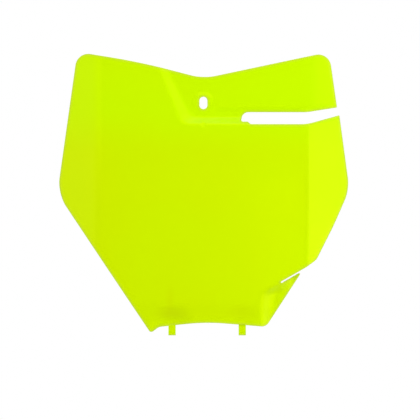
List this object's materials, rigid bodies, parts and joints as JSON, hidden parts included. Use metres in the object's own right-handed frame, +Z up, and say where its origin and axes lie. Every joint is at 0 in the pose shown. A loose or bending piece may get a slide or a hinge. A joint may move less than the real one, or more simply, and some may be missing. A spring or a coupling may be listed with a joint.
{
  "type": "racing number board",
  "caption": "Bowed front number board of a motocross bike, moulded in one piece, with side wings, a hose pocket running into an open slot, a screw slot on a boss and two locating lugs.",
  "frame": {"origin": "middle of the screw slot, on the front face of the boss, where the screw's washer presses", "axes": "+Z up, -Y out of the board's front towards someone facing it, +Y to the rear where the bike is, +X to the right of someone facing the front"},
  "size_m": [0.2542, 0.0337, 0.2473],
  "materials": {
    "board": "glossy fluorescent yellow polypropylene, coloured right through"
  },
  "bodies": {
    "root": {"number_board": "board"}
  },
  "joints": []
}
